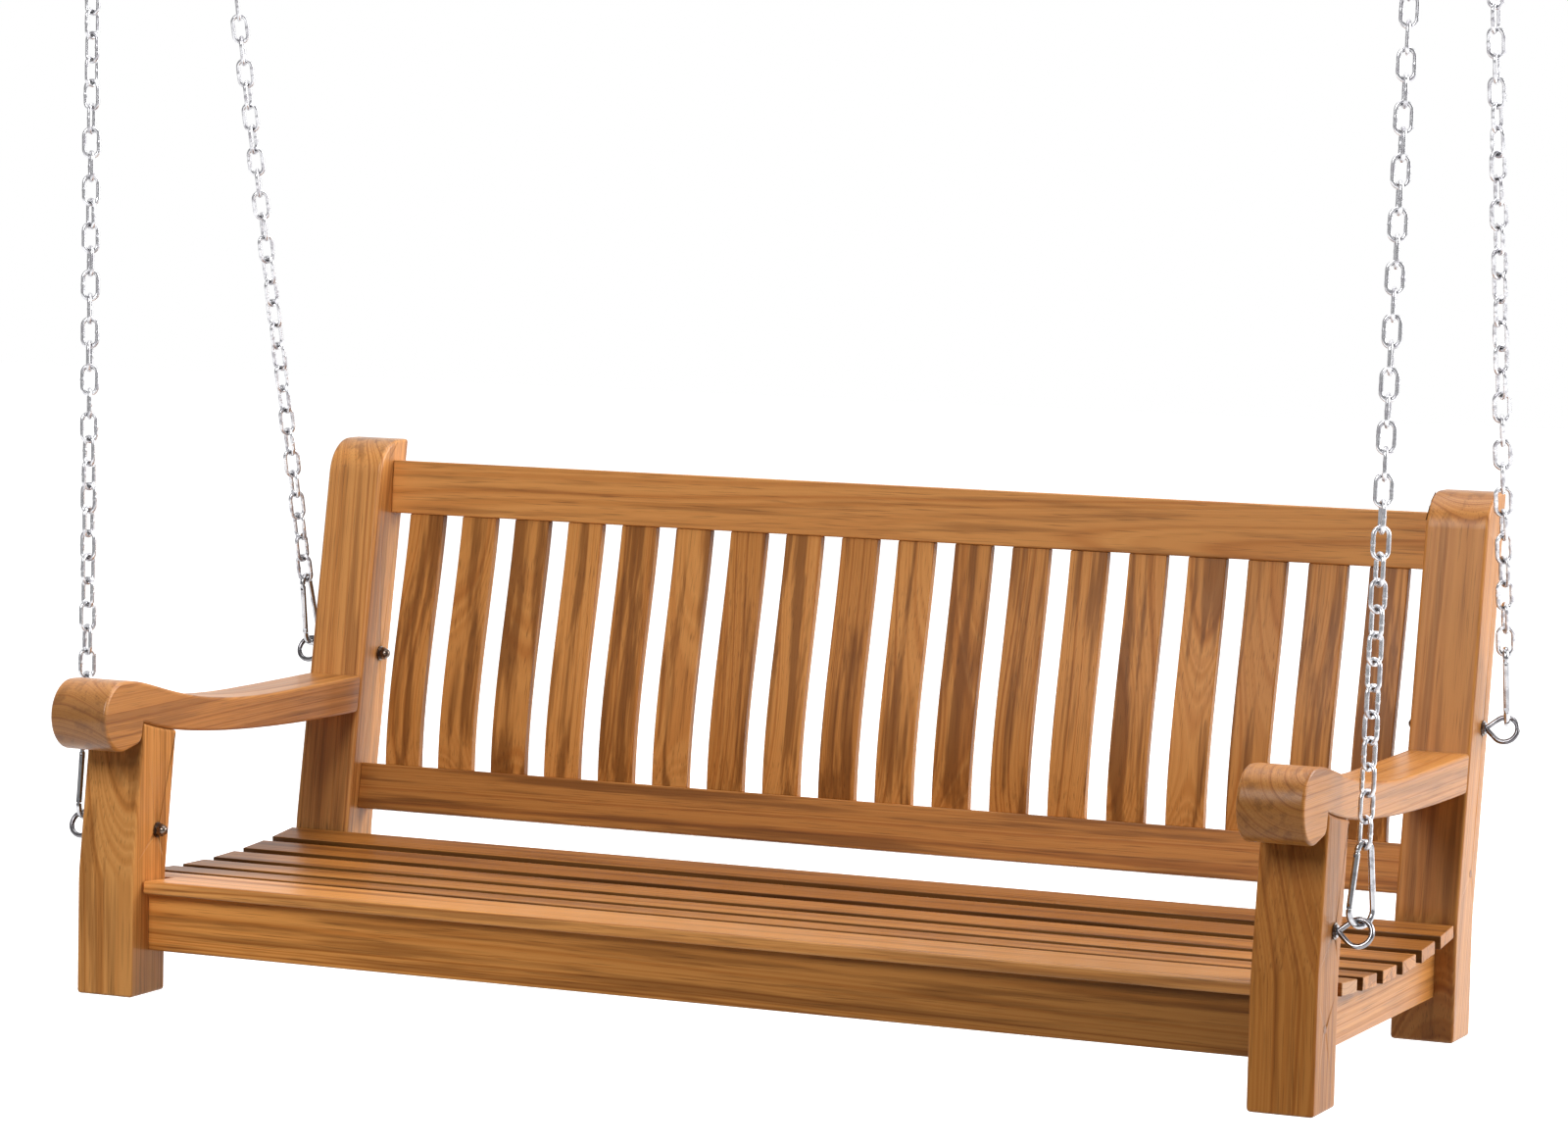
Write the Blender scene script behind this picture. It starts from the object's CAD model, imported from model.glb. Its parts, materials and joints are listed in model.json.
"""A hanging swing bench in teak on four chains, dressed over its CAD frame.

Everything is in metres in the CAD's own frame: the origin is the middle of the four ceiling studs,
X runs across the bench, Y to the back and Z up. A name that ends in mm or deg is in millimetres
or degrees.
"""

import json
import logging
import math
from dataclasses import dataclass, field
from enum import Enum

import bmesh
import bpy
import numpy as np
from mathutils import Euler, Matrix, Vector

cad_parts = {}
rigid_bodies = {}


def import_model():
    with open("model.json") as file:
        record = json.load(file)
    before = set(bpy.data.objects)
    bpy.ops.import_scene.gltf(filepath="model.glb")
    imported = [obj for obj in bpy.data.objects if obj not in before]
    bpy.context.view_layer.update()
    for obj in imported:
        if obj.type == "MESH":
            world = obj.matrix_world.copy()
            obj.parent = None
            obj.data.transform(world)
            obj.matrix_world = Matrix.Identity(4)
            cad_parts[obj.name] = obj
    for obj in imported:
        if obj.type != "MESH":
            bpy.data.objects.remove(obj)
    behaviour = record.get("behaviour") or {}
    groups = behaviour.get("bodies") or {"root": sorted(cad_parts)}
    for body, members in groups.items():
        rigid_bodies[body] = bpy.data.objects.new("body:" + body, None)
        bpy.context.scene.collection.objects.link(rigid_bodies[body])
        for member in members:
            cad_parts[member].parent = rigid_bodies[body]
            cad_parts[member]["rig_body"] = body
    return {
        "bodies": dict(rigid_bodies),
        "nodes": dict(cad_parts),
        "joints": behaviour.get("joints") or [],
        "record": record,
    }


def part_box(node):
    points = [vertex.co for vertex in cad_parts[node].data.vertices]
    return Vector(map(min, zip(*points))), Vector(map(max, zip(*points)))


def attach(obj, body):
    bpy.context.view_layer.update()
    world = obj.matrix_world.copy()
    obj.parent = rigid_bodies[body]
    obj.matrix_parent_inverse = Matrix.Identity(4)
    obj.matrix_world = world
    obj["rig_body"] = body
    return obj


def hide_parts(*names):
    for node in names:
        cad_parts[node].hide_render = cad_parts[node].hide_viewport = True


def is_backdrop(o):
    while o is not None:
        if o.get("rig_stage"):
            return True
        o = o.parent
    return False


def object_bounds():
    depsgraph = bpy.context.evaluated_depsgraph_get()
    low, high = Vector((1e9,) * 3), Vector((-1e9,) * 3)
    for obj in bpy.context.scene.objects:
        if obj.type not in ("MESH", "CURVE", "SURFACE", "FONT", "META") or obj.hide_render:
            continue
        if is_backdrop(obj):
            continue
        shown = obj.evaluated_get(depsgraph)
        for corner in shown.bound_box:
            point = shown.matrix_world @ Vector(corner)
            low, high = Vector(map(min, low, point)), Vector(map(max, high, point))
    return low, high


LOG = logging.getLogger("swing_bench")

Tree = bpy.types.NodeTree
Socket = bpy.types.NodeSocket
Pair = tuple[float, float]
Point = tuple[float, float, float]
Colour = tuple[float, float, float, float]

WHITE: Colour = (1.0, 1.0, 1.0, 1.0)
# Millimetres in a metre: a pattern of a given width has this over its width as its scale.
MM = 1000.0
# The bench hangs tilted back by this angle, and its woodwork is turned with it.
SEAT_TILT = math.radians(6.6)
# The back leans from the posts' feet by this angle more.
BACK_RAKE = math.radians(9.5)
# Darker wood is also redder: green takes this power of a piece's tone, and blue this one.
GREEN_FALL, BLUE_FALL = 1.3, 1.9


def linear(sheet_colour: str, tone: float = 1.0) -> Colour:
    """Turns an sRGB hex value into a linear colour, by the sRGB standard's own curve.

    Args:
        sheet_colour: the colour as "#RRGGBB".
        tone: a factor on its light, for a piece that is darker or paler than its kind.

    Returns:
        Red, green and blue in linear light, and an alpha of 1.
    """
    parts = [int(sheet_colour[i : i + 2], 16) / 255 for i in (1, 3, 5)]
    curve = [c / 12.92 if c <= 0.04045 else ((c + 0.055) / 1.055) ** 2.4 for c in parts]
    return (curve[0] * tone, curve[1] * tone**GREEN_FALL, curve[2] * tone**BLUE_FALL, 1.0)


def add(
    tree: Tree,
    kind: str,
    values: dict | None = None,
    links: dict | None = None,
    stops: list[tuple[float, Colour]] | None = None,
    **settings: object,
) -> bpy.types.NodeOutputs:
    """Adds one node to a tree, with its settings, the values of its sockets and its links.

    Args:
        tree: the material's or the world's node tree.
        kind: the node's type, such as "ShaderNodeTexNoise".
        values: socket name or number to its value.
        links: socket name or number to the output socket that feeds it.
        stops: a colour ramp's places and colours.
        settings: the node's own settings by name.

    Returns:
        The new node's outputs.
    """
    node = tree.nodes.new(kind)
    for name, value in settings.items():
        setattr(node, name, value)
    for socket, value in (values or {}).items():
        node.inputs[socket].default_value = value
    for socket, source in (links or {}).items():
        tree.links.new(source, node.inputs[socket])
    if stops is not None:
        ramp = node.color_ramp
        while len(ramp.elements) < len(stops):
            ramp.elements.new(0.5)  # any place, since its own is set next
        for element, (where, colour) in zip(ramp.elements, stops):
            element.position = where
            element.color = colour
    return node.outputs


def between(pair: Pair, sooner: float = 0.0) -> dict[str, float]:
    """Gives the sockets of a Map Range node the two values where its change begins and is full."""
    return {"From Min": pair[0] - sooner, "From Max": pair[1] - sooner}


def fresh_material(name: str) -> tuple[bpy.types.Material, Tree]:
    """Makes an empty material.

    Args:
        name: what the finish is.

    Returns:
        The material and its node tree.
    """
    material = bpy.data.materials.new(name)
    material.use_nodes = True
    material.node_tree.nodes.clear()
    return material, material.node_tree


class GrainRun(Enum):
    """Which way a piece was sawn: the turn that lays its log's Z along the grain."""

    ACROSS = (0.0, math.pi / 2, 0.0)
    DEEP = (-math.pi / 2 - SEAT_TILT, 0.0, 0.0)
    UPRIGHT = (-SEAT_TILT, 0.0, 0.0)
    RAKED = (-SEAT_TILT - BACK_RAKE, 0.0, 0.0)


@dataclass(frozen=True)
class Look:
    """How one piece of teak differs from the next.

    Fields: depth is how strongly it is streaked from 0 to 1, tone a factor on its light, fade how
    much it pales along a metre of its grain, edges the light of its front and back edges, which
    stay dark where boards lie side by side, ends the light of its end grain, and sheen a factor on
    its gloss, because the oil soaks in unevenly.
    """

    depth: float = 0.5
    tone: float = 1.0
    fade: float = 0.0
    edges: float = 1.0
    ends: float = 0.66
    sheen: float = 1.0


@dataclass(frozen=True)
class LogCut:
    """Where in its log one piece was sawn.

    The heart of the log lies beside the piece and not quite in line with it, which opens its rings
    into long arches on a flat-sawn face.

    Fields: run is the grain's way, centre the piece's middle, heart the place of the log's heart
    from there, lean the heart's lean in radians, look how the piece differs from its neighbours,
    and seed moves the noise on.
    """

    run: GrainRun
    centre: Point
    heart: Pair
    lean: Pair
    look: Look
    seed: float

    def turn(self) -> Matrix:
        """Gives the turn from the log's own axes to the bench's."""
        return Euler(self.run.value).to_matrix() @ Euler((*self.lean, 0.0)).to_matrix()


@dataclass(frozen=True)
class DrawnNoise:
    """Noise that is drawn out along the grain.

    Fields: width_mm is the width of its marks, length how many times as long they are, start how
    far the piece's seed moves it on each axis, and detail and roughness how finely it breaks up.
    """

    width_mm: float
    length: float
    start: Point
    detail: float
    roughness: float

    def add_to(self, tree: Tree, place: Socket, seed: float) -> Socket:
        """Adds the noise to a material.

        Args:
            tree: the material's node tree.
            place: the place in the log, with the grain along Z.
            seed: the piece's seed.

        Returns:
            The noise's value.
        """
        across, along = MM / self.width_mm, MM / (self.width_mm * self.length)
        start = tuple(seed * share for share in self.start)
        stretched = add(
            tree,
            "ShaderNodeMapping",
            {"Scale": (across, across, along), "Location": start},
            {"Vector": place},
        )[0]
        return add(
            tree,
            "ShaderNodeTexNoise",
            {"Scale": 1.0, "Detail": self.detail, "Roughness": self.roughness},
            {"Vector": stretched},
        )["Fac"]


@dataclass(frozen=True)
class Teak:
    """Sawn and sanded teak under a thin satin oil.

    Golden brown with broad dark-brown streaks, arches of growth rings on the flat-sawn faces,
    open pores drawn out along the grain, and a soft sheen that whitens at a low angle.

    A field that ends in at gives two values of a noise, or of how squarely a face looks along an
    axis: where a change begins and where it is full. On a piece of depth 1 the change begins lower
    by the field that ends in sooner, and is stronger by the one that ends in gain.
    """

    pale: str = "#D2924F"
    golden: str = "#BC793A"
    brown: str = "#7A481C"
    streak: str = "#4A290E"

    # Growth rings, and the broader zones in which the heartwood is brown.
    ring_mm: float = 4.0
    zone_mm: float = 30.0
    # Where golden, pale, golden and brown stand in the rings' noise.
    ring_places: tuple[float, ...] = (0.22, 0.46, 0.66, 0.90)
    # How far the rings wander to either side and how broad their waves are. Along the grain the
    # waves come at this share of the rate across it.
    wander_mm: float = 18.0
    wave_mm: float = 200.0
    wave_along: float = 0.09
    wave_start: Point = (1.0, 0.7, 1.3)

    # Wood browns where the zones, with this weight, and the streaks together are high.
    zone_share: float = 0.45
    brown_at: Pair = (0.72, 0.90)
    brown_sooner: float = 0.06
    brown_least: float = 0.35
    brown_gain: float = 0.6

    # Dark streaks lie over the brown in long veils.
    streaks: DrawnNoise = DrawnNoise(13.0, 26.0, (5.0, 1.0, 2.0), 3.5, 0.55)
    streak_at: Pair = (0.68, 0.78)
    streak_sooner: float = 0.05
    streak_gain: float = 0.8

    # Real pores are 0.2 mm wide, too fine to show, so they are drawn coarser.
    pores: DrawnNoise = DrawnNoise(1.2, 50.0, (1.0, 0.0, 1.0), 1.0, 0.5)
    pore_at: Pair = (0.58, 0.75)
    pore_shade: float = 0.45

    # Faces across the grain have their own light, and so have those to the front and back.
    ends_at: Pair = (0.5, 1.0)
    edges_at: Pair = (0.35, 0.8)

    # Roughness from the smooth rings to the open ones, and the relief of pores against rings.
    roughness: Pair = (0.28, 0.46)
    pore_relief: float = -0.6
    relief: float = 0.3
    relief_mm: float = 0.4
    ior: float = 1.48
    specular: float = 0.26
    oil: float = 0.06
    oil_roughness: float = 0.25

    def bent(self, tree: Tree, in_log: Socket, seed: float) -> Socket:
        """Adds the bend of the rings: slow noise moves each place across the grain.

        Args:
            tree: the material's node tree.
            in_log: the place in the log.
            seed: the piece's seed.

        Returns:
            The place after the bend.
        """
        start = tuple(seed * share for share in self.wave_start)
        drawn_out = add(
            tree,
            "ShaderNodeMapping",
            {"Scale": (1.0, 1.0, self.wave_along), "Location": start},
            {"Vector": in_log},
        )[0]
        waves = add(
            tree,
            "ShaderNodeTexNoise",
            {"Scale": MM / self.wave_mm, "Detail": 3.0, "Roughness": 0.45},
            {"Vector": drawn_out},
        )["Color"]
        most = self.wander_mm / MM
        shift = add(
            tree,
            "ShaderNodeVectorMath",
            {1: (2 * most, 2 * most, 0.0), 2: (-most, -most, 0.0)},
            {0: waves},
            operation="MULTIPLY_ADD",
        )[0]
        return add(tree, "ShaderNodeVectorMath", links={0: in_log, 1: shift}, operation="ADD")[0]

    def rings_and_zones(self, tree: Tree, bent: Socket, seed: float) -> list[Socket]:
        """Adds the noise of the rings and of the zones, along the distance from the log's heart.

        Args:
            tree: the material's node tree.
            bent: the place in the log after its bend.
            seed: the piece's seed.

        Returns:
            The rings' value and the zones'.
        """
        flat = {1: (1.0, 1.0, 0.0)}
        level = add(tree, "ShaderNodeVectorMath", flat, {0: bent}, operation="MULTIPLY")[0]
        radius = add(tree, "ShaderNodeVectorMath", links={0: level}, operation="LENGTH")["Value"]
        noises = []
        for number, width_mm in enumerate((self.ring_mm, self.zone_mm), 1):
            outwards = add(
                tree,
                "ShaderNodeMath",
                {1: MM / width_mm, 2: seed * number},
                {0: radius},
                operation="MULTIPLY_ADD",
            )[0]
            noise = add(
                tree,
                "ShaderNodeTexNoise",
                {"Scale": 1.0, "Detail": 1.5, "Roughness": 0.6},
                {"W": outwards},
                noise_dimensions="1D",
            )["Fac"]
            noises.append(noise)
        return noises

    def browned(
        self, tree: Tree, rings: Socket, zones: Socket, streaks: Socket, look: Look
    ) -> Socket:
        """Adds the wood's colour: the rings' own, browned in the zones, with dark streaks on it.

        Args:
            tree: the material's node tree.
            rings: the rings' noise.
            zones: the zones' noise.
            streaks: the streaks' noise.
            look: how the piece differs from its neighbours.

        Returns:
            The colour.
        """
        ring_colours = (self.golden, self.pale, self.golden, self.brown)
        ground = add(
            tree,
            "ShaderNodeValToRGB",
            links={"Fac": rings},
            stops=[
                (where, linear(colour, look.tone))
                for where, colour in zip(self.ring_places, ring_colours)
            ],
        )["Color"]
        heartwood = add(
            tree,
            "ShaderNodeMath",
            {1: self.zone_share},
            {0: zones, 2: streaks},
            operation="MULTIPLY_ADD",
        )[0]
        brownness = add(
            tree,
            "ShaderNodeMapRange",
            {
                **between(self.brown_at, self.brown_sooner * look.depth),
                "To Max": self.brown_least + self.brown_gain * look.depth,
            },
            {"Value": heartwood},
            interpolation_type="SMOOTHSTEP",
        )[0]
        toned = add(
            tree,
            "ShaderNodeMixRGB",
            {"Color2": linear(self.brown, look.tone)},
            {"Fac": brownness, "Color1": ground},
        )[0]
        begins, is_full = self.streak_at
        veil_at = (begins - self.streak_sooner * look.depth, is_full)
        veil = add(
            tree,
            "ShaderNodeMapRange",
            {**between(veil_at), "To Max": self.streak_gain * look.depth},
            {"Value": streaks},
            interpolation_type="SMOOTHSTEP",
        )[0]
        darkest = {"Color2": linear(self.streak)}
        return add(tree, "ShaderNodeMixRGB", darkest, {"Fac": veil, "Color1": toned})[0]

    def side_light(
        self, tree: Tree, normal: Socket, axis: Vector, faces_at: Pair, light: float
    ) -> Socket:
        """Adds a factor on the light of the faces that look along an axis, either way.

        Args:
            tree: the material's node tree.
            normal: the surface's normal.
            axis: the axis.
            faces_at: the cosines between which the factor goes from 1 to its full value.
            light: its full value.

        Returns:
            The factor.
        """
        cosine = add(
            tree, "ShaderNodeVectorMath", {1: axis}, {0: normal}, operation="DOT_PRODUCT"
        )["Value"]
        either_way = add(tree, "ShaderNodeMath", links={0: cosine}, operation="ABSOLUTE")[0]
        return add(
            tree,
            "ShaderNodeMapRange",
            {**between(faces_at), "To Min": 1.0, "To Max": light},
            {"Value": either_way},
        )[0]

    def shade(self, tree: Tree, in_log: Socket, normal: Socket, cut: LogCut) -> Socket:
        """Adds the factor on the wood's light: its fade along the grain, its edges and its ends.

        Args:
            tree: the material's node tree.
            in_log: the place in the log.
            normal: the surface's normal.
            cut: where in its log the piece was sawn.

        Returns:
            The factor.
        """
        turn, look = cut.turn(), cut.look
        run = add(tree, "ShaderNodeSeparateXYZ", links={0: in_log})["Z"]
        paler = add(
            tree,
            "ShaderNodeMapRange",
            {**between((-1.0, 1.0)), "To Min": 1 - look.fade, "To Max": 1 + look.fade},
            {"Value": run},
        )[0]
        grain, depth = turn @ Vector((0.0, 0.0, 1.0)), turn @ Vector((0.0, 1.0, 0.0))
        ends = self.side_light(tree, normal, grain, self.ends_at, look.ends)
        edges = self.side_light(tree, normal, depth, self.edges_at, look.edges)
        both = add(tree, "ShaderNodeMath", links={0: edges, 1: ends}, operation="MULTIPLY")[0]
        return add(tree, "ShaderNodeMath", links={0: paler, 1: both}, operation="MULTIPLY")[0]

    def material(self, name: str, cut: LogCut) -> bpy.types.Material:
        """Builds the teak of one piece.

        A ring's place is the distance from the log's heart, bent by slow noise. Noise along that
        distance alone gives rings and zones of uneven width that run with the grain.

        Args:
            name: the piece's name.
            cut: where in its log the piece was sawn.

        Returns:
            The material.
        """
        made, tree = fresh_material(f"oiled_teak_{name}")
        turn, sheen = cut.turn(), cut.look.sheen
        heart = Vector(cut.centre) + turn @ Vector((*cut.heart, 0.0))
        on_piece = add(tree, "ShaderNodeTexCoord")
        in_log = add(
            tree,
            "ShaderNodeMapping",
            {"Location": heart, "Rotation": turn.to_euler()},
            {"Vector": on_piece["Object"]},
            vector_type="TEXTURE",
        )[0]
        bent = self.bent(tree, in_log, cut.seed)
        rings, zones = self.rings_and_zones(tree, bent, cut.seed)
        streaks = self.streaks.add_to(tree, bent, cut.seed)
        pores = self.pores.add_to(tree, in_log, cut.seed)
        wood = self.browned(tree, rings, zones, streaks, cut.look)
        shade = self.shade(tree, in_log, on_piece["Normal"], cut)
        shaded = add(tree, "ShaderNodeVectorMath", links={0: wood, 3: shade}, operation="SCALE")[0]
        pitted = add(
            tree,
            "ShaderNodeMapRange",
            {**between(self.pore_at), "To Max": self.pore_shade},
            {"Value": pores},
        )[0]
        darkest = {"Color2": linear(self.streak)}
        colour = add(tree, "ShaderNodeMixRGB", darkest, {"Fac": pitted, "Color1": shaded})[0]
        roughness = add(
            tree,
            "ShaderNodeMapRange",
            {"To Min": self.roughness[0], "To Max": self.roughness[1]},
            {"Value": rings},
        )[0]
        height = add(
            tree,
            "ShaderNodeMath",
            {1: self.pore_relief},
            {0: pitted, 2: rings},
            operation="MULTIPLY_ADD",
        )[0]
        bump = add(
            tree,
            "ShaderNodeBump",
            {"Strength": self.relief, "Distance": self.relief_mm / MM},
            {"Height": height},
        )[0]
        surface = add(
            tree,
            "ShaderNodeBsdfPrincipled",
            {
                "IOR": self.ior,
                "Specular IOR Level": self.specular * sheen,
                "Coat Weight": self.oil * sheen,
                "Coat Roughness": self.oil_roughness,
            },
            {"Base Color": colour, "Roughness": roughness, "Normal": bump},
        )[0]
        add(tree, "ShaderNodeOutputMaterial", links={"Surface": surface})
        return made


# The screw plugs are a darker teak, with the grain running across their faces.
PLUG_TEAK = Teak(pale="#A56C3C", golden="#8E5A30")


@dataclass(frozen=True)
class Metal:
    """A bare or plated steel, bright and uneven, with darker spots where it is worn or stained.

    Fields: name is the finish, bright and dull its colours, smooth and rough its roughness where it
    is bright and dull, spot_mm the width of its spots, dent the strength of its dents, grime the
    colour of the dirt in its corners. A field that ends in at gives the values of the spots' noise,
    or of the wear, between which a change goes from none to full.
    """

    name: str
    bright: str
    dull: str
    smooth: float
    rough: float
    spot_mm: float
    dent: float
    dent_mm: float = 0.3
    bright_at: Pair = (0.36, 0.52)
    smooth_at: Pair = (0.35, 0.6)
    grime: str = "#3C3B3E"
    grime_at: Pair = (0.55, 0.95)
    grime_most: float = 0.75

    def material(self, grimy: str = "") -> bpy.types.Material:
        """Builds the metal: noise of a spot's size mixes the bright and the dull finish.

        Args:
            grimy: the attribute that is 1 where dirt and dullness gather, if the piece has one.

        Returns:
            The material.
        """
        made, tree = fresh_material(self.name)
        spots = add(
            tree,
            "ShaderNodeTexNoise",
            {"Scale": MM / self.spot_mm, "Detail": 3.0, "Roughness": 0.6},
            {"Vector": add(tree, "ShaderNodeTexCoord")["Object"]},
        )["Fac"]
        colours = (linear(self.dull), linear(self.bright))
        colour = add(
            tree,
            "ShaderNodeValToRGB",
            links={"Fac": spots},
            stops=list(zip(self.bright_at, colours)),
        )["Color"]
        if grimy:
            gathered = add(
                tree,
                "ShaderNodeMapRange",
                {**between(self.grime_at), "To Max": self.grime_most},
                {"Value": add(tree, "ShaderNodeAttribute", attribute_name=grimy)["Fac"]},
                interpolation_type="SMOOTHSTEP",
            )[0]
            colour = add(
                tree,
                "ShaderNodeMixRGB",
                {"Color2": linear(self.grime)},
                {"Fac": gathered, "Color1": colour},
            )[0]
        roughness = add(
            tree,
            "ShaderNodeMapRange",
            {**between(self.smooth_at), "To Min": self.rough, "To Max": self.smooth},
            {"Value": spots},
        )[0]
        bump = add(
            tree,
            "ShaderNodeBump",
            {"Strength": self.dent, "Distance": self.dent_mm / MM},
            {"Height": spots},
        )[0]
        surface = add(
            tree,
            "ShaderNodeBsdfPrincipled",
            {"Metallic": 1.0},
            {"Base Color": colour, "Roughness": roughness, "Normal": bump},
        )[0]
        add(tree, "ShaderNodeOutputMaterial", links={"Surface": surface})
        return made


# Chains are bright zinc: silvery and cool where it is whole, grey where it has dulled.
ZINC = Metal("bright_zinc_plated_steel", "#D3D3D6", "#A5A3A8", 0.24, 0.38, 9.0, 0.05)
# Snap hooks are polished steel, the smoothest and clearest mirror of the metals here.
POLISHED = Metal("polished_steel", "#C2C2C5", "#A09FA3", 0.1, 0.18, 14.0, 0.03)
# Eye bolts and ceiling hooks are stainless bar with a drawn satin skin, darker than the hooks.
STAINLESS = Metal("satin_stainless_steel", "#89878A", "#676467", 0.15, 0.25, 14.0, 0.03)
# Dome nuts and their washers are dull and brown where the wood's oil has stained them.
STAINED = Metal("oil_stained_stainless_steel", "#75685F", "#54473E", 0.2, 0.32, 6.0, 0.03)


@dataclass
class Piecework:
    """What every sub-assembly shares: its pieces, and how a CAD node is finished.

    Fields: frame is the loaded CAD frame, made the pieces so far. Points closer than same_point
    are one. Convex edges that turn by more than rounded_deg are rounded, except a bore's rim, whose
    edges are shorter than rim_edge. Faces with more corners than whole_corners are pierced. Round
    pieces are sharp where they turn by more than sharp_deg. A rounding has rounding_facets facets,
    and flat_weight says how far large faces rule the normals beside it.
    """

    frame: dict
    made: list[bpy.types.Object] = field(default_factory=list)
    same_point: float = 2e-5
    rounded_deg: float = 35.0
    rim_edge: float = 0.0013
    whole_corners: int = 12
    sharp_deg: float = 40.0
    rounding_facets: int = 3
    flat_weight: int = 80

    def stand_in(self, node: str, mesh: bpy.types.Mesh) -> bpy.types.Object:
        """Puts a mesh into the scene in the place of a CAD node, on the node's own body.

        Args:
            node: the CAD node.
            mesh: the piece's mesh.

        Returns:
            The new object.
        """
        mesh.shade_smooth()
        piece = bpy.data.objects.new(f"dressed_{node}", mesh)
        bpy.context.scene.collection.objects.link(piece)
        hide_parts(node)
        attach(piece, self.frame["nodes"][node]["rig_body"])
        self.made.append(piece)
        return piece

    def merged(self, node: str, flat_deg: float, bored: bool = False) -> bpy.types.Object:
        """Copies a CAD node's loose triangles into a new object, and joins them into whole faces.

        Args:
            node: the CAD node.
            flat_deg: faces that meet at less than this angle become one.
            bored: bores open on its faces, whose rims stay sharp. Its pierced faces are cut into
                triangles, because a modifier can't fill them well.

        Returns:
            The new object, which replaces the node and rides on its body.
        """
        source = self.frame["nodes"][node].data
        points = np.empty(len(source.vertices) * 3, np.float32)
        source.vertices.foreach_get("co", points)
        corners = np.empty(len(source.loops), np.int32)
        source.loops.foreach_get("vertex_index", corners)
        mesh = bpy.data.meshes.new(node)
        mesh.from_pydata(points.reshape(-1, 3), [], corners.reshape(-1, 3))
        whole = bmesh.new()
        whole.from_mesh(mesh)
        bmesh.ops.remove_doubles(whole, verts=whole.verts, dist=self.same_point)
        bmesh.ops.dissolve_limit(
            whole, angle_limit=math.radians(flat_deg), verts=whole.verts, edges=whole.edges
        )
        weight = whole.edges.layers.float.new("bevel_weight_edge")
        turns = math.radians(self.rounded_deg)
        for edge in whole.edges:
            rim = bored and edge.calc_length() < self.rim_edge
            if edge.is_convex and edge.calc_face_angle(0.0) > turns and not rim:
                edge[weight] = 1.0
        if bored:
            pierced = [face for face in whole.faces if len(face.verts) > self.whole_corners]
            bmesh.ops.triangulate(whole, faces=pierced, quad_method="BEAUTY", ngon_method="BEAUTY")
        whole.to_mesh(mesh)
        whole.free()
        return self.stand_in(node, mesh)

    def round_piece(self, node: str, flat_deg: float = 0.0) -> bpy.types.Object:
        """Makes a piece with smooth rounds and sharp true edges, such as a bolt or a link.

        Args:
            node: the CAD node.
            flat_deg: faces that meet at less than this angle become one.

        Returns:
            The piece.
        """
        piece = self.merged(node, flat_deg)
        piece.data.set_sharp_from_angle(angle=math.radians(self.sharp_deg))
        return piece

    def ease(self, piece: bpy.types.Object, radius_mm: float) -> None:
        """Rounds a piece's sharp edges, and weights its normals so that its flats look flat.

        Args:
            piece: the object.
            radius_mm: the edges' rounding.
        """
        bevel = piece.modifiers.new("eased_edges", "BEVEL")
        bevel.width = radius_mm / MM
        bevel.segments = self.rounding_facets
        bevel.limit_method = "WEIGHT"
        bevel.use_clamp_overlap = False
        bevel.miter_outer = "MITER_ARC"
        weigh = piece.modifiers.new("flat_faces", "WEIGHTED_NORMAL")
        weigh.weight = self.flat_weight
        weigh.keep_sharp = True

    def coat(self, piece: bpy.types.Object, material: bpy.types.Material, slot: str) -> None:
        """Gives a piece its material and names the record's slot for it.

        Args:
            piece: the object.
            material: its finish.
            slot: the record's slot.
        """
        piece.data.materials.clear()
        piece.data.materials.append(material)

    def report(self) -> None:
        """Logs each piece that was made."""
        for piece in self.made:
            LOG.info("%s: %s, %d faces", type(self).__name__, piece.name, len(piece.data.polygons))


@dataclass(frozen=True)
class Board:
    """One teak piece.

    Fields: node is its CAD node, run the way of its grain, seed picks its place in the log, look is
    how it differs from its neighbours, and easing_mm the rounding of its edges.
    """

    node: str
    run: GrainRun
    seed: int
    look: Look = Look()
    easing_mm: float = 2.0


@dataclass
class Woodwork(Piecework):
    """A sub-assembly of teak boards.

    Fields: teak is the wood. Faces that meet at less than flat_deg are one, so gentle bows stay.
    The log's heart lies heart_away from a board's middle, between the two distances, and leans from
    it by up to heart_lean radians. Seeds run up to last_seed.
    """

    teak: Teak = field(default_factory=Teak)
    flat_deg: float = 0.4
    heart_away: Pair = (0.05, 0.12)
    heart_lean: float = 0.012
    last_seed: float = 40.0

    def boards(self) -> list[Board]:
        """Lists the boards in order: each sub-assembly has its own."""
        raise NotImplementedError

    def build(self) -> None:
        """Makes the boards."""
        for board in self.boards():
            self.saw(board)

    def saw(self, board: Board) -> None:
        """Makes one board out of its CAD node. Only the posts have bores that open on a face.

        Args:
            board: the board.
        """
        piece = self.merged(board.node, self.flat_deg, "post" in board.node)
        self.ease(piece, board.easing_mm)
        low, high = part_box(board.node)
        dice = np.random.RandomState(board.seed)
        angle = dice.uniform(0, 2 * math.pi)
        away = dice.uniform(*self.heart_away)
        cut = LogCut(
            board.run,
            tuple((low + high) / 2),
            (away * math.cos(angle), away * math.sin(angle)),
            tuple(dice.uniform(-self.heart_lean, self.heart_lean, 2)),
            board.look,
            float(dice.uniform(0, self.last_seed)),
        )
        self.coat(piece, self.teak.material(board.node, cut), "teak")


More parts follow.
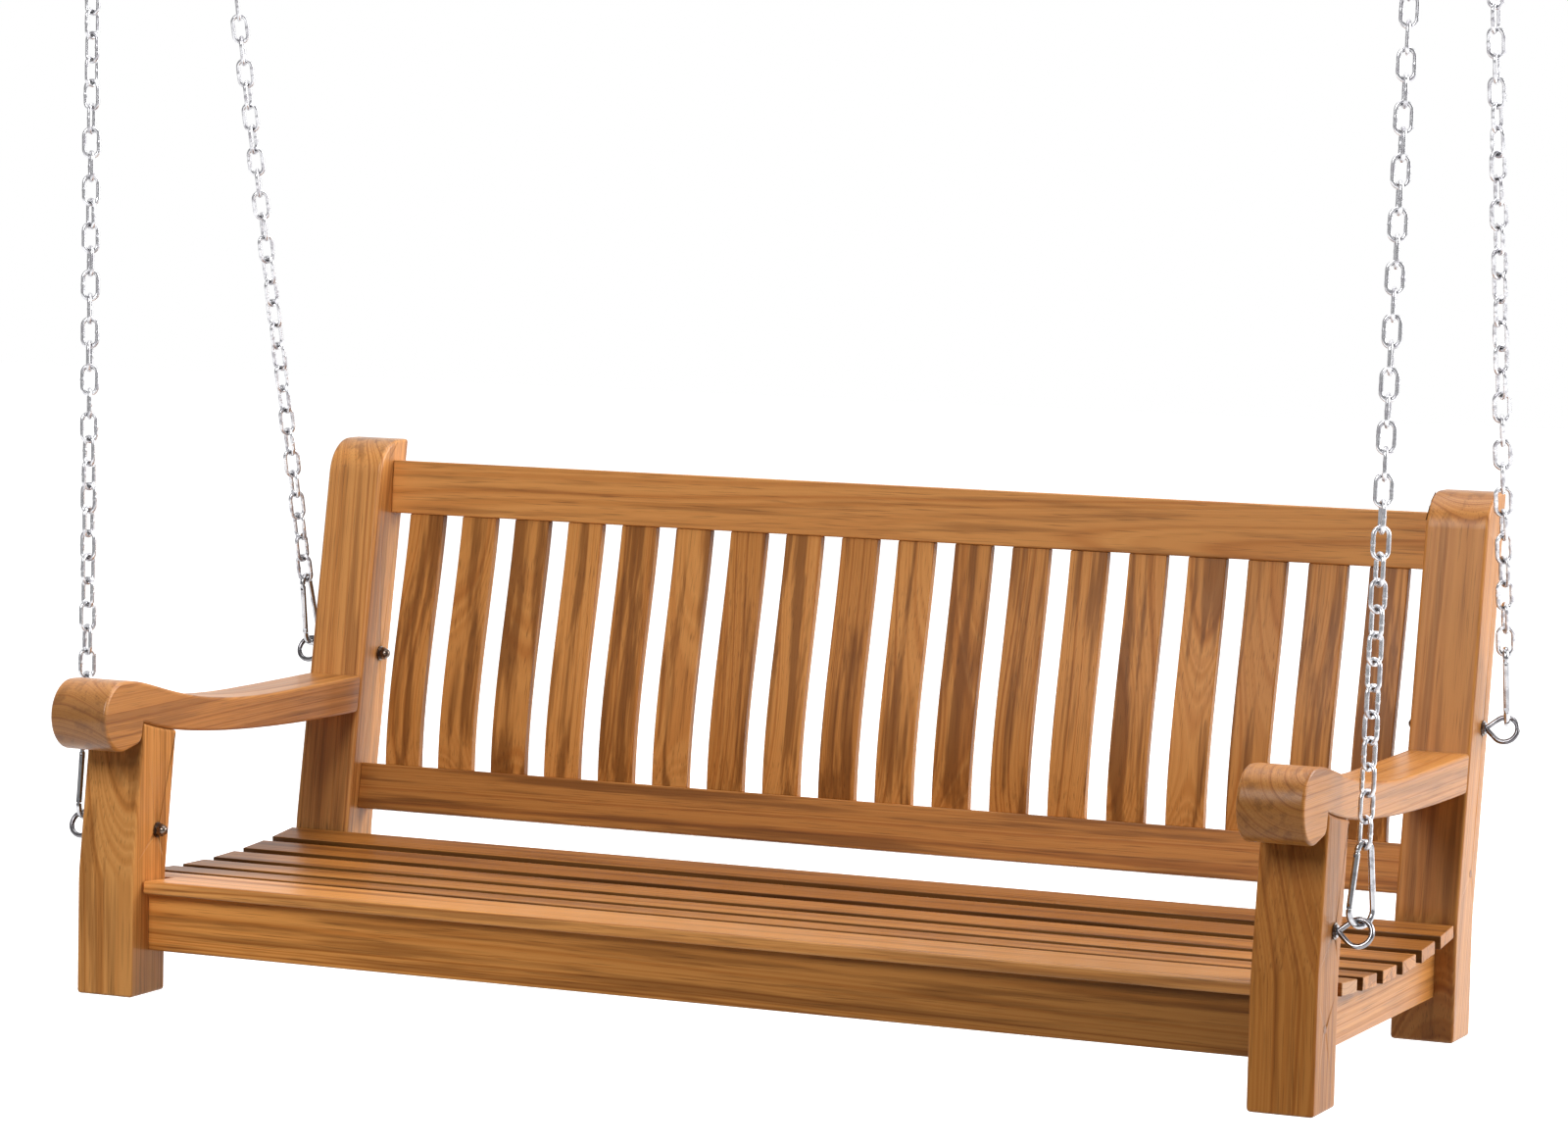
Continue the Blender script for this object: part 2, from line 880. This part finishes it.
@dataclass
class EndFrames(Woodwork):
    """The four posts, the two arms and the two side rails."""

    easing_mm: float = 4.0

    def boards(self) -> list[Board]:
        """Lists the boards. Arms and posts are rounded more than the rails, as hands touch them.

        Returns:
            The posts, the arms and the side rails.
        """
        upright, raked, deep = GrainRun.UPRIGHT, GrainRun.RAKED, GrainRun.DEEP
        easing = self.easing_mm
        return [
            Board("front_post_left", upright, 11, Look(0.2, 1.1, sheen=0.6), easing),
            Board("front_post_right", upright, 12, Look(0.15, 0.7, sheen=0.45), easing),
            Board("rear_post_left", raked, 21, Look(0.25, 1.07, sheen=1.5), easing),
            Board("rear_post_right", raked, 22, Look(0.15, 0.86, sheen=1.0), easing),
            Board("arm_left", deep, 31, Look(0.15, 0.9, sheen=1.9), easing),
            Board("arm_right", deep, 32, Look(0.15, 0.81, sheen=0.8), easing),
            Board("side_rail_left", deep, 41, Look(0.4)),
            Board("side_rail_right", deep, 42, Look(0.2, 0.95, sheen=0.7)),
        ]


@dataclass
class Seat(Woodwork):
    """The aprons, the middle bearer and the six seat boards."""

    front_easing_mm: float = 1.5
    slat_easing_mm: float = 1.2
    slat_tones: tuple[float, ...] = (0.82, 0.8, 0.78, 0.62, 0.7)
    slat_seed: int = 60

    def boards(self) -> list[Board]:
        """Lists the boards: the seat's frame, its front board, and its slats, numbered from 2.

        Returns:
            The aprons, the bearer, the front board and the slats.
        """
        across = GrainRun.ACROSS
        front = Look(0.3, 1.07, -0.38, ends=1.0)
        found = [
            Board("front_apron", across, 51, Look(0.4, 0.85, -0.72, sheen=0.5)),
            Board("rear_apron", across, 52),
            Board("seat_bearer", GrainRun.DEEP, 53),
            Board("seat_board_front", across, 54, front, self.front_easing_mm),
        ]
        for place, tone in enumerate(self.slat_tones, 2):
            look = Look(0.4, tone, edges=0.36, ends=1.15, sheen=0.65)
            node, seed = f"seat_slat_{place}", self.slat_seed + place
            found.append(Board(node, across, seed, look, self.slat_easing_mm))
        return found


@dataclass
class Back(Woodwork):
    """The two back rails and the eighteen slats between them.

    Fields: a slat's tone lies between darkest_slat and tone_range more.
    """

    slats: int = 18
    slat_easing_mm: float = 1.5
    darkest_slat: float = 0.82
    tone_range: float = 0.19
    slat_seed: int = 80

    def boards(self) -> list[Board]:
        """Lists the boards. A slat's tone is drawn at random, with its place as the seed.

        Returns:
            The two rails and the slats.
        """
        found = [
            Board("top_rail", GrainRun.ACROSS, 71, Look(0.2, 1.02, -0.1, sheen=1.2)),
            Board("lower_back_rail", GrainRun.ACROSS, 72, Look(0.6, 0.8, 0.2, sheen=0.8)),
        ]
        for place in range(1, self.slats + 1):
            drawn = float(np.random.RandomState(place).uniform())
            look = Look(0.7, self.darkest_slat + self.tone_range * drawn, sheen=0.6)
            node, seed = f"back_slat_{place:02d}", self.slat_seed + place
            found.append(Board(node, GrainRun.RAKED, seed, look, self.slat_easing_mm))
        return found


@dataclass
class Fixings(Piecework):
    """Eye bolts, dome nuts, washers and wood plugs."""

    plug_flat_deg: float = 0.4
    plug_heart: Pair = (0.05, 0.02)
    plug_lean: Pair = (0.02, 0.02)
    plug_look: Look = Look(0.8, 0.8)
    plug_seed: float = 3.0

    def build(self) -> None:
        """Makes the metal fixings and the plugs."""
        steel, stained = STAINLESS.material(), STAINED.material()
        for node, finish in (("eye_bolts", steel), ("dome_nuts", stained), ("washers", stained)):
            self.coat(self.round_piece(node), finish, "stainless")
        plugs = self.round_piece("wood_plugs", self.plug_flat_deg)
        low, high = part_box("wood_plugs")
        cut = LogCut(
            GrainRun.DEEP,
            tuple((low + high) / 2),
            self.plug_heart,
            self.plug_lean,
            self.plug_look,
            self.plug_seed,
        )
        self.coat(plugs, PLUG_TEAK.material("plugs", cut), "plug_wood")


@dataclass(frozen=True)
class ChainLine:
    """The line of one chain, from the top of its eye up to its hook, and the turn of its links.

    Fields: end and side say which chain it is, eye is its eye's Y and Z, lean_deg its lean to the
    back, turn_deg how its snap hook is turned, and sway_deg and sways how far and how many times
    the links' turn wanders on the way up.
    """

    end: str
    side: str
    eye: Pair
    lean_deg: float
    turn_deg: float
    sway_deg: float
    sways: float

    def frame(self, eye_x: float, outward_deg: float) -> Matrix:
        """Works out the chain's own frame: its origin is the eye's top and its Z runs up the chain.

        Args:
            eye_x: the eye's distance from the middle of the bench.
            outward_deg: how far the chain leans outwards.

        Returns:
            The frame, mirrored for the left side.
        """
        place = Matrix.Translation((eye_x, *self.eye))
        lean = Matrix.Rotation(math.radians(-self.lean_deg), 4, "X")
        outward = Matrix.Rotation(math.radians(outward_deg), 4, "Y")
        mirror = Matrix.Scale(-1 if self.side == "left" else 1, 4, (1, 0, 0))
        return mirror @ place @ lean @ outward


@dataclass
class Chains(Piecework):
    """Four welded chains of 33 links, as new surfaces in the place of the CAD's links.

    Fields: wire, width, pitch and gap are the links', links their number, first the height of the
    lowest one over its eye, eye_x and outward_deg the chains' place and lean, bead the weld's swell
    as a share of the wire and bead_length its length, leg_wear how worn the legs are against the
    crowns, steps the points along a link and round_steps those round its wire.
    """

    wire: float = 0.005
    width: float = 0.022
    pitch: float = 0.0275
    gap: float = 0.0003
    links: int = 33
    first: float = 0.0913
    eye_x: float = 0.776
    outward_deg: float = 0.9351
    bead: float = 0.16
    bead_length: float = 0.0012
    leg_wear: float = 0.45
    steps: int = 44
    round_steps: int = 14
    lines: tuple[ChainLine, ...] = (
        ChainLine("front", "left", (-0.285075, -1.137438), 7.9, 90, 26, 2.5),
        ChainLine("front", "right", (-0.285075, -1.137438), 7.9, 57, 18, 1.5),
        ChainLine("rear", "left", (0.263012, -1.037773), -6.6, 90, 24, 2.0),
        ChainLine("rear", "right", (0.263012, -1.037773), -6.6, 106, 22, 3.0),
    )

    def loop(self) -> tuple[np.ndarray, np.ndarray]:
        """Works out one link, standing on its end in X and Z.

        The middle of the wire runs round a stadium: two straight legs and two half circles. A
        circle of the wire's radius is carried along it, and swells a little at the weld, halfway
        up one leg.

        Returns:
            The points, and how strongly dirt and wear gather at each one: most inside the crowns.
        """
        crown = (self.width - self.wire) / 2
        leg = self.pitch + self.gap + self.wire - 2 * crown
        length = 2 * leg + 2 * math.pi * crown
        s = np.arange(self.steps) / self.steps * length
        # The four stretches: up the right leg, over the top, down the left leg, round the bottom.
        over_top = np.clip((s - leg) / crown, 0, math.pi)
        turn = over_top + np.clip((s - 2 * leg) / crown - math.pi, 0, math.pi)
        up = np.clip(s, 0, leg) - np.clip(s - leg - math.pi * crown, 0, leg)
        x = crown * np.cos(turn)
        z = up - leg / 2 + crown * np.sin(turn)
        level = np.zeros(self.steps)
        normal = np.stack([np.cos(turn), level, np.sin(turn)], axis=1)
        a = np.arange(self.round_steps) / self.round_steps * 2 * math.pi
        weld = np.exp(-(((s - leg / 2) / self.bead_length) ** 2))
        radius = self.wire / 2 * (1 + self.bead * weld)
        centre = np.stack([x, level, z], axis=1)
        across = np.array([0.0, 1.0, 0.0])
        points = (
            centre[:, None, :]
            + radius[:, None, None] * np.cos(a)[None, :, None] * normal[:, None, :]
            + radius[:, None, None] * np.sin(a)[None, :, None] * across
        )
        inside = (1 - np.cos(a)) / 2
        crowns = self.leg_wear + (1 - self.leg_wear) * np.abs(np.sin(turn))
        return points.reshape(-1, 3), (inside[None, :] * crowns[:, None]).ravel()

    def turns(self, line: ChainLine) -> np.ndarray:
        """Works out how each link is turned about the chain, in radians.

        Each link is a quarter turn on from the last. A steady twist of up to a quarter turn makes
        the first link cross the snap hook and the last one the ceiling hook, and a slow wave is
        added, since the links of a real chain settle a little twisted.

        Args:
            line: where the chain runs.

        Returns:
            The turns from the lowest link up.
        """
        number = np.arange(self.links)
        along = number / (self.links - 1)
        twist = (180 - line.turn_deg - 90 * (self.links - 1)) % 180
        twist = twist - 180 if twist > 90 else twist
        slack = line.sway_deg * np.sin(2 * math.pi * line.sways * along)
        return np.radians(line.turn_deg - 90 + 90 * number + twist * along + slack)

    def skin(self, inside_out: bool) -> np.ndarray:
        """Works out the faces of all the links: a grid that closes both ways on each.

        Args:
            inside_out: turns the faces round, for a chain whose frame is mirrored.

        Returns:
            Four point numbers for each face.
        """
        steps, around = self.steps, self.round_steps
        i, j = np.meshgrid(np.arange(steps), np.arange(around), indexing="ij")
        nx, ny = (i + 1) % steps, (j + 1) % around
        quad = np.stack(
            [i * around + j, i * around + ny, nx * around + ny, nx * around + j], axis=2
        ).reshape(-1, 4)
        if inside_out:
            quad = quad[:, ::-1]
        first_points = np.arange(self.links) * steps * around
        return (quad[None] + first_points[:, None, None]).reshape(-1, 4)

    def chain(self, line: ChainLine) -> bpy.types.Object:
        """Makes one chain: each link is the loop, turned about the chain's line and moved up it.

        Args:
            line: where the chain runs.

        Returns:
            The chain.
        """
        points, worn = self.loop()
        turns = self.turns(line)
        c, s = np.cos(turns)[:, None], np.sin(turns)[:, None]
        x = points[None, :, 0] * c - points[None, :, 1] * s
        y = points[None, :, 0] * s + points[None, :, 1] * c
        z = points[None, :, 2] + (self.first + np.arange(self.links) * self.pitch)[:, None]
        local = np.stack([x, y, z, np.ones_like(x)], axis=2).reshape(-1, 4)
        frame = np.array(line.frame(self.eye_x, self.outward_deg))
        name = f"{line.end}_chain_{line.side}"
        mesh = bpy.data.meshes.new(name)
        mesh.from_pydata((local @ frame.T)[:, :3], [], self.skin(line.side == "left"))
        layer = mesh.attributes.new("worn", "FLOAT", "POINT")
        layer.data.foreach_set("value", np.tile(worn, self.links).astype(np.float32))
        return self.stand_in(name, mesh)

    def build(self) -> None:
        """Makes the four chains."""
        zinc = ZINC.material("worn")
        for line in self.lines:
            self.coat(self.chain(line), zinc, "zinc_chain")


@dataclass
class Hanging(Piecework):
    """The snap hooks with their gates and rivets, and the ceiling fittings."""

    corners: tuple[str, ...] = ("front_left", "front_right", "rear_left", "rear_right")
    rivets: tuple[str, ...] = ("front_gate_rivets", "rear_gate_rivets")
    fittings: tuple[str, ...] = ("ceiling_hooks", "ceiling_nuts", "ceiling_washers")

    def build(self) -> None:
        """Makes the hooks that hold the chains at both ends."""
        polished, steel = POLISHED.material(), STAINLESS.material()
        hooks = [f"{part}_{corner}" for part in ("snap_hook", "gate") for corner in self.corners]
        for node in (*hooks, *self.rivets):
            self.coat(self.round_piece(node), polished, "snap_steel")
        for node in self.fittings:
            self.coat(self.round_piece(node), steel, "stainless")


@dataclass(frozen=True)
class Lamp:
    """A square soft lamp: its name, its place, the length of its side and its power."""

    name: str
    place: Point
    side: float
    watts: float

    def hang(self, at: Vector) -> None:
        """Puts the lamp into the scene.

        Args:
            at: the point it faces.
        """
        light = bpy.data.lights.new(self.name, "AREA")
        light.shape = "SQUARE"
        light.size = self.side
        light.energy = self.watts
        lamp = bpy.data.objects.new(self.name, light)
        lamp.location = self.place
        lamp.rotation_euler = (at - Vector(self.place)).to_track_quat("-Z", "Y").to_euler()
        bpy.context.scene.collection.objects.link(lamp)


@dataclass
class Studio:
    """Pale floor, white surroundings, four soft lamps and the camera of the photograph.

    Fields: bench is the point that the lamps face. The floor lies floor_below under the bench, in
    floor_squares squares a side, and glows from floor_glow near its middle to 1 beyond. The
    camera's place, axes and lens were fitted to the photograph. Surround is the light of the
    surroundings on the bench, dim_front what metal mirrors of the room before it, and room_at the
    directions, as Y, between which that room turns into the white backdrop.
    """

    bench: Point = (0.0, 0.0, -1.05)
    floor_below: float = 0.45
    floor_side: float = 14.0
    floor_squares: int = 8
    floor_bare: str = "#9C9C9C"
    floor_paint: str = "#E6E6E6"
    floor_glow: float = 0.5
    floor_glow_at: Pair = (2.2, 3.6)
    camera_place: Point = (2.32601, -5.15361, 0.21431)
    camera_right: Point = (0.913001, 0.407164, -0.02544)
    camera_up: Point = (-0.053551, 0.181433, 0.981944)
    camera_back: Point = (0.404428, -0.895153, 0.187452)
    lens_mm: float = 115.26
    sensor_mm: float = 36.0
    sees_between: Pair = (0.05, 60.0)
    surround: float = 0.12
    dim_front: float = 0.35
    room_at: Pair = (-0.35, 0.25)
    lamps: tuple[Lamp, ...] = (
        Lamp("overhead", (0.0, 0.9, 2.2), 3.0, 84.0),
        Lamp("right", (4.1, 0.9, 0.8), 2.4, 106.0),
        Lamp("front", (-0.4, -4.4, 2.4), 2.2, 182.0),
        Lamp("right_back", (3.3, 2.9, 0.4), 2.4, 140.0),
    )

    def seen(self, tree: Tree, rays: tuple[str, ...]) -> Socket:
        """Adds the test for a kind of ray, such as what the eye sees directly or in a reflection.

        Args:
            tree: the tree it goes into.
            rays: the outputs of Light Path that count.

        Returns:
            A socket that is 1 for such rays and 0 for light that falls on the object.
        """
        path = add(tree, "ShaderNodeLightPath")
        test = path[rays[0]]
        for ray in rays[1:]:
            both = {0: test, 1: path[ray]}
            test = add(tree, "ShaderNodeMath", links=both, operation="MAXIMUM")[0]
        return test

    def sky(self) -> None:
        """Makes the world: plain light on the object, white to the eye, and a dim room in front.

        Metal mirrors the white backdrop behind the bench and the dimmer room before it.
        """
        world = bpy.data.worlds.new("white_studio")
        world.use_nodes = True
        bpy.context.scene.world = world
        tree = world.node_tree
        tree.nodes.clear()
        direction = add(tree, "ShaderNodeTexCoord")["Generated"]
        mirrored = add(
            tree,
            "ShaderNodeMapRange",
            {**between(self.room_at), "To Min": self.dim_front, "To Max": 1.0},
            {"Value": add(tree, "ShaderNodeSeparateXYZ", links={0: direction})["Y"]},
            interpolation_type="SMOOTHSTEP",
        )[0]
        on_object = add(
            tree,
            "ShaderNodeMix",
            {2: self.surround},
            {0: self.seen(tree, ("Is Glossy Ray",)), 3: mirrored},
        )[0]
        strength = add(
            tree,
            "ShaderNodeMix",
            {3: 1.0},
            {0: self.seen(tree, ("Is Camera Ray", "Is Transmission Ray")), 2: on_object},
        )[0]
        light = add(tree, "ShaderNodeBackground", {"Color": WHITE}, {"Strength": strength})[0]
        add(tree, "ShaderNodeOutputWorld", links={"Surface": light})

    def matt_paint(self) -> bpy.types.Material:
        """Makes matt white paint: without gloss, so it shows the bench's shadow and no reflection.

        It glows to the eye and in reflections, up to white away from the bench. To other light it
        is plain grey.

        Returns:
            The material.
        """
        made, tree = fresh_material("matt_white_paint")
        place = add(tree, "ShaderNodeTexCoord")["Object"]
        away = add(tree, "ShaderNodeVectorMath", links={0: place}, operation="LENGTH")["Value"]
        strength = add(
            tree,
            "ShaderNodeMapRange",
            {**between(self.floor_glow_at), "To Min": self.floor_glow, "To Max": 1.0},
            {"Value": away},
        )[0]
        bare = add(tree, "ShaderNodeBsdfDiffuse", {"Color": linear(self.floor_bare)})[0]
        paint = add(tree, "ShaderNodeBsdfDiffuse", {"Color": linear(self.floor_paint)})[0]
        glow = add(tree, "ShaderNodeEmission", {"Color": WHITE}, {"Strength": strength})[0]
        both = add(tree, "ShaderNodeAddShader", links={0: paint, 1: glow})[0]
        by_eye = self.seen(tree, ("Is Camera Ray", "Is Glossy Ray", "Is Transmission Ray"))
        mixed = add(tree, "ShaderNodeMixShader", links={0: by_eye, 1: bare, 2: both})[0]
        add(tree, "ShaderNodeOutputMaterial", links={"Surface": mixed})
        return made

    def floor(self, low: Vector) -> None:
        """Makes the floor under the bench: a level grid of squares round the origin.

        Args:
            low: the lowest corner of the bench.
        """
        half, z = self.floor_side / 2, low.z - self.floor_below
        squares, row = self.floor_squares, self.floor_squares + 1
        steps = np.linspace(-half, half, row)
        x, y = np.meshgrid(steps, steps, indexing="ij")
        points = np.stack([x.ravel(), y.ravel(), np.full(x.size, z)], axis=1)
        corner = (np.arange(squares)[:, None] * row + np.arange(squares)[None, :]).ravel()
        faces = np.stack([corner, corner + row, corner + row + 1, corner + 1], axis=1)
        mesh = bpy.data.meshes.new("studio_floor")
        mesh.from_pydata(points, [], faces)
        mesh.materials.append(self.matt_paint())
        ground = bpy.data.objects.new("studio_floor", mesh)
        bpy.context.scene.collection.objects.link(ground)
        ground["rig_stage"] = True

    def camera(self) -> None:
        """Sets the camera where the photograph was taken."""
        data = bpy.data.cameras.new("photograph")
        data.sensor_fit = "HORIZONTAL"
        data.sensor_width = self.sensor_mm
        data.lens = self.lens_mm
        data.clip_start, data.clip_end = self.sees_between
        camera = bpy.data.objects.new("photograph", data)
        axes = Matrix((self.camera_right, self.camera_up, self.camera_back)).transposed()
        camera.matrix_world = Matrix.Translation(self.camera_place) @ axes.to_4x4()
        bpy.context.scene.collection.objects.link(camera)
        bpy.context.scene.camera = camera

    def build(self, box: tuple[Vector, Vector]) -> None:
        """Makes the studio round the bench.

        Args:
            box: the bench's box.
        """
        bpy.context.scene.view_settings.view_transform = "Standard"
        self.sky()
        self.floor(box[0])
        for lamp in self.lamps:
            lamp.hang(Vector(self.bench))
        self.camera()


def main() -> None:
    """Builds the bench and its studio."""
    logging.basicConfig(level=logging.INFO, format="%(name)s %(message)s")
    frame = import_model()
    cad_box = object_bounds()
    for kind in (EndFrames, Seat, Back, Fixings, Chains, Hanging):
        assembly = kind(frame)
        assembly.build()
        assembly.report()
    Studio().build(cad_box)


if __name__ == "__main__":
    main()
